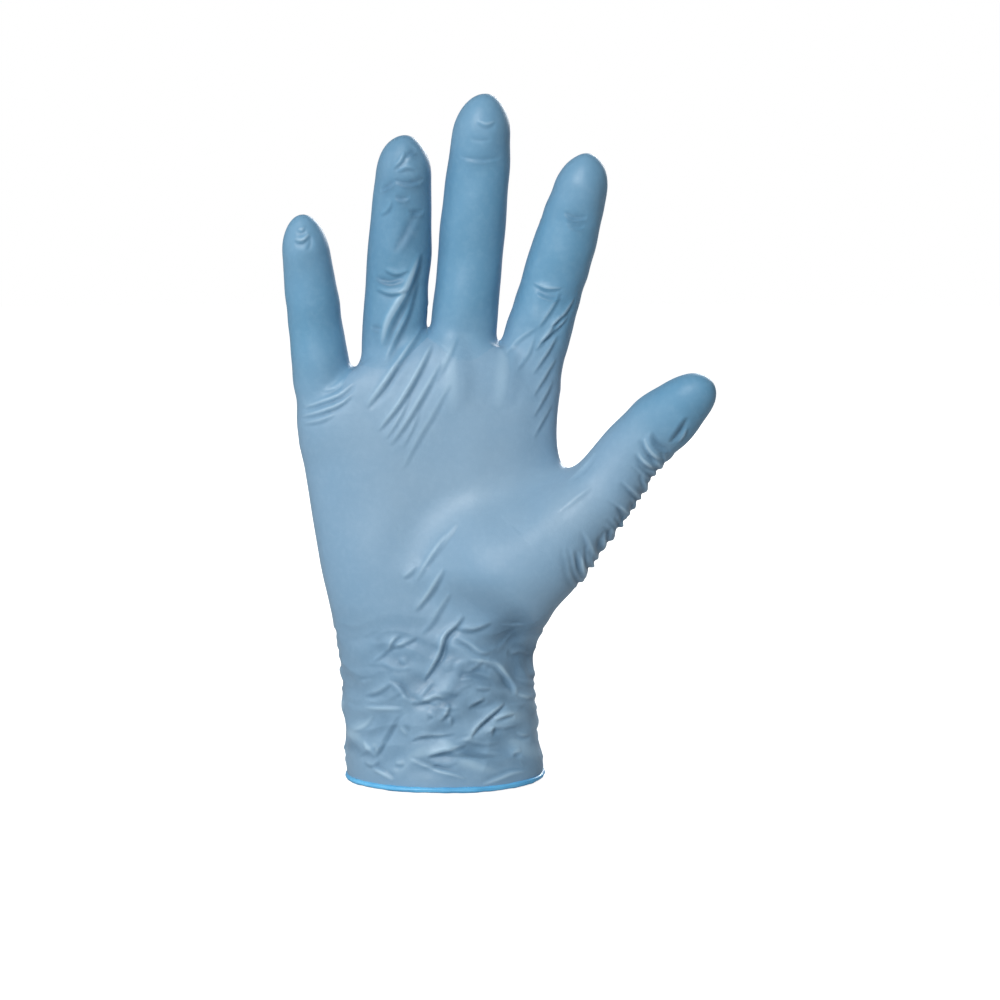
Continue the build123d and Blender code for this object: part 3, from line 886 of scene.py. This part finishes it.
# painted shade: the dark blue of fold valleys, hollows and shaded places
PAINTED_SHADE_BLUE = shade(62, 100, 130)
# painted highlight along fold crests; also the film's own small random light specks
PAINTED_HIGHLIGHT_AND_SPECK_BLUE = shade(182, 214, 234)
DEEP_BLUE = shade(98, 146, 182)
BEAD_BLUE = shade(112, 198, 246)
BEAD_DEEP = shade(88, 174, 228)


def film_tints(points, painted_light_and_shade):
    """Shares that colour the film: on a digit, with painted light on the finger tips; pulled taut; and
    painted highlights along fold crests with painted shade in folds, hollows and over the ring finger.
    """
    x, y, z = points.T
    on_digit = np.zeros(len(points), np.float32)
    for name, digit in DIGITS.items():
        s = digit.local(points)[0]
        # painted light: the fingers' tips get less of the deep digit blue, so they come out lighter
        start, painted_tip_light = (24.0, 0.0) if name == "thumb" else (-4.0, 0.3)
        share = smooth_step(s, start - 12, start + 22) * (digit.field(points) < NEAR_DIGIT)
        tip = smooth_step(s, digit.length - 30, digit.length - 8)
        on_digit = np.maximum(on_digit, share * (1 - painted_tip_light * tip))
        # painted shade: the ring finger is darkened all over
        if name == "ring":
            painted_light_and_shade = painted_light_and_shade - 0.25 * share
    front = smooth_step(-y, -6, 10)
    taut = 0.75 * front * np.exp(-((x - 2) / 30) ** 4 - ((z - 106) / 26) ** 4)
    web = 0.7 * np.exp(-((x - 42) / 14) ** 2 - ((z - 96) / 13) ** 2)
    taut = np.clip(np.maximum(taut, web) * (1 - 0.8 * on_digit), 0, 1)
    return {"digit_share": on_digit, "taut_share": taut, "painted_light_and_shade": painted_light_and_shade}


# ---------------------------------------------------------------- the rolled bead

def rim_lift(angle):
    """How far the rim rises above its lowest place, by the angle round the opening."""
    return 0.55 + 0.4 * np.sin(angle + 0.4) + 0.10 * np.sin(3 * angle + 1.1) + 0.05 * np.sin(7 * angle)


def rim_place(angle):
    """The line along the middle of the bead."""
    left, right, front, back = [curve(0.0, side) for side in (LEFT, RIGHT, FRONT, BACK)]
    x = (left + right) / 2 + (right - left) / 2 * np.cos(angle)
    y = (front + back) / 2 + (back - front) / 2 * np.sin(angle)
    return np.stack([x, y, BEAD_R + rim_lift(angle)], 1)


def rolled_bead(material):
    """A roll of film round the opening, with the film's free edge along it as a small step."""
    count, turns = 540, 30
    angle = np.linspace(0, 2 * pi, count, endpoint=False)
    middle = rim_place(angle)
    along = np.roll(middle, -1, 0) - np.roll(middle, 1, 0)
    along /= np.linalg.norm(along, axis=1, keepdims=True)
    up = np.array([0.0, 0.0, 1.0])
    out = np.cross(along, up)
    round_it = np.linspace(0, 2 * pi, turns, endpoint=False)
    wander = 0.5 * np.sin(2 * angle + 0.4) + 0.25 * np.sin(5 * angle)
    phase = (round_it[None, :] + wander[:, None]) % (2 * pi)
    uneven = 0.05 * np.sin(9 * angle + 1) + 0.04 * np.sin(23 * angle) + 0.03 * np.sin(41 * angle + 2)
    radius = BEAD_R * (1.0 + uneven[:, None] - 0.16 * phase / (2 * pi) + 0.02 * np.sin(6 * phase))
    verts = middle[:, None, :] + radius[..., None] * (
        np.cos(round_it)[None, :, None] * out[:, None, :] + np.sin(round_it)[None, :, None] * up)
    number = np.arange(count * turns).reshape(count, turns)
    following, beside = np.roll(number, -1, 0), np.roll(number, -1, 1)
    faces = np.stack([number, following, np.roll(following, -1, 1), beside], -1).reshape(-1, 4)
    verts = verts.reshape(-1, 3) * MM
    mesh = bpy.data.meshes.new("bead")
    mesh.from_pydata(verts.tolist(), [], faces.tolist())
    mesh.polygons.foreach_set("use_smooth", np.ones(len(faces), bool))
    place = mesh.attributes.new("rest_place", "FLOAT_VECTOR", "POINT")
    place.data.foreach_set("vector", verts.astype(np.float32).ravel())
    mesh.materials.append(material)
    bead = bpy.data.objects.new("bead", mesh)
    bpy.context.collection.objects.link(bead)
    return bead


# ---------------------------------------------------------------- the glove

BENDS = {name: [f"{name}_knuckle_bend", f"{name}_middle_bend", f"{name}_tip_bend"] for name in FINGERS}
BENDS["thumb"] = ["thumb_base_bend", "thumb_tip_bend"]


def place_piece(piece, name):
    """Rides the palm's piece on its body; the other pieces stay unparented, their transform baked in. Each
    hides the CAD parts it covers.
    """
    part = name.removesuffix("_skin").rpartition("_")[0]
    if name == "palm_skin":
        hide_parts("palm")
        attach(piece, "palm_body")
        return
    if name == "cuff_skin":
        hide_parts("cuff", "wrist_fold")
        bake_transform(piece)
        return
    hinges, cuts = stations_of(part)
    number = PIECE_NAMES[part].index(name)
    joint = JOINTS[BENDS[part][number]]
    fold = BENDS[part][number].removesuffix("_bend") + "_fold"
    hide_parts(fold, joint["child"].removesuffix("_body"))
    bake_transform(piece)


def glove():
    """The wrinkled film, cut into its pieces, and the bead."""
    smooth, quads = skin_mesh()
    smooth = settle(smooth, quads)
    outward = point_normals(smooth, quads)
    relief = skin_relief(smooth, outward)
    skin = smooth + outward * relief.height[:, None]
    angle = np.arctan2(skin[:, 1], skin[:, 0])
    skin[:, 2] += rim_lift(angle) * (1 - smooth_step(skin[:, 2], 0, 14))
    normals = point_normals(skin, quads)
    tints = film_tints(smooth, relief.painted_light_and_shade)
    owner = face_pieces(smooth, quads)
    film = film_material()
    for number, name in enumerate(PIECES):
        piece = film_piece(name, skin, normals, quads[owner == number], smooth, tints, film)
        place_piece(piece, name)
    bead = rolled_bead(bead_material())
    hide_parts("cuff_bead")
    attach(bead, "cuff_body")


# ---------------------------------------------------------------- the studio

def studio_floor():
    """A wide white disc under the glove."""
    mesh = bpy.data.meshes.new("floor")
    ring = [(4 * cos(a), 4 * sin(a), 0) for a in np.linspace(0, 2 * pi, 64, endpoint=False)]
    mesh.from_pydata(ring, [], [list(range(64))])
    mesh.materials.append(floor_material())
    floor = bpy.data.objects.new("floor", mesh)
    bpy.context.collection.objects.link(floor)


def lamp(name, place, size, power):
    """A round soft lamp that points at the glove."""
    data = bpy.data.lights.new(name, "AREA")
    data.shape = "DISK"
    data.size = size
    data.energy = power
    light = bpy.data.objects.new(name, data)
    light.location = place
    aim = Vector((0.01, 0, 0.12)) - Vector(place)
    light.rotation_euler = aim.to_track_quat("-Z", "Y").to_euler()
    bpy.context.collection.objects.link(light)


def studio_light():
    """Four soft lamps and a pale sky that the camera sees as white."""
    lamp("key", (-0.42, -1.0, 0.68), 0.4, 10)
    lamp("fill", (0.1, -1.2, 0.2), 0.6, 1.6)
    lamp("left", (-1.1, -0.3, 0.35), 0.6, 1.8)
    lamp("back", (0.5, 1.1, 0.7), 0.7, 13)
    world = bpy.data.worlds.new("studio")
    bpy.context.scene.world = world
    world.use_nodes = True
    tree = world.node_tree
    light = tree.nodes["Background"]
    light.inputs["Color"].default_value = (0.93, 0.97, 1, 1)
    light.inputs["Strength"].default_value = 0.22
    seen = tree.nodes.new("ShaderNodeBackground")
    seen.inputs["Strength"].default_value = 1.0
    seen.inputs["Color"].default_value = (1, 1, 1, 1)
    path = tree.nodes.new("ShaderNodeLightPath")
    mix = tree.nodes.new("ShaderNodeMixShader")
    tree.links.new(path.outputs["Is Camera Ray"], mix.inputs[0])
    tree.links.new(light.outputs[0], mix.inputs[1])
    tree.links.new(seen.outputs[0], mix.inputs[2])
    tree.links.new(mix.outputs[0], tree.nodes["World Output"].inputs[0])
    bpy.context.scene.view_settings.view_transform = "Standard"


def camera():
    """The photo's view: the palm, from slightly above."""
    data = bpy.data.cameras.new("camera")
    data.lens = FOCAL
    data.sensor_width = SENSOR
    eye = bpy.data.objects.new("camera", data)
    tilt = radians(ELEVATION)
    x, y, z = TARGET
    eye.location = (x * MM, (y - DISTANCE * cos(tilt)) * MM, (z + DISTANCE * sin(tilt)) * MM)
    eye.rotation_euler = (pi / 2 - tilt, 0, 0)
    bpy.context.collection.objects.link(eye)
    bpy.context.scene.camera = eye


glove()
studio_floor()
studio_light()
camera()
